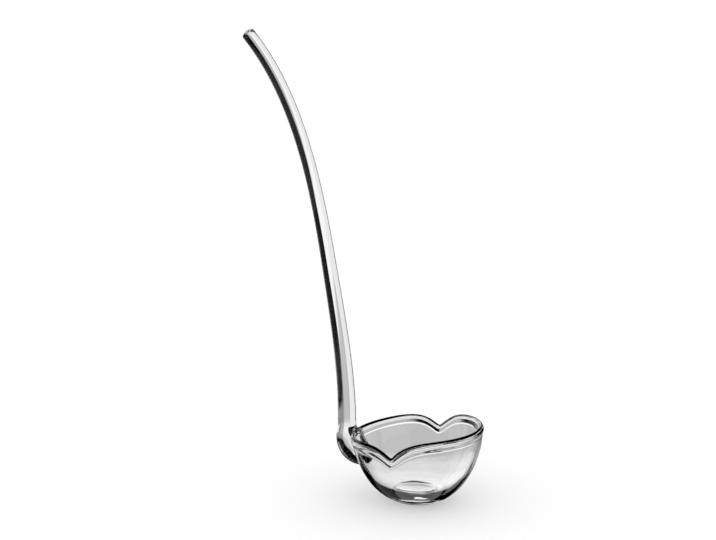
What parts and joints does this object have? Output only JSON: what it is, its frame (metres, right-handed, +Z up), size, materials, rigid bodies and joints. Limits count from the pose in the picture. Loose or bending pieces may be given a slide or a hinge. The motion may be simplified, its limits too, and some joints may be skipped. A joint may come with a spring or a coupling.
{
  "type": "glass punch ladle",
  "caption": "Clear glass punch ladle: a round-bottomed bowl with a pouring lip on each side and a long solid rod handle that sweeps up and back.",
  "frame": {"origin": "centre of the flat ground under the bowl", "axes": "+Z up, towards the bowl's open top; +X from the handle across the bowl; the pouring lips face +Y and -Y"},
  "size_m": [0.1824, 0.0859, 0.3252],
  "materials": {
    "bowl_glass": "clear blown glass, fire polished",
    "handle_glass": "clear drawn glass, fire polished"
  },
  "bodies": {
    "root": {"bowl": "bowl_glass", "handle": "handle_glass"}
  },
  "joints": []
}
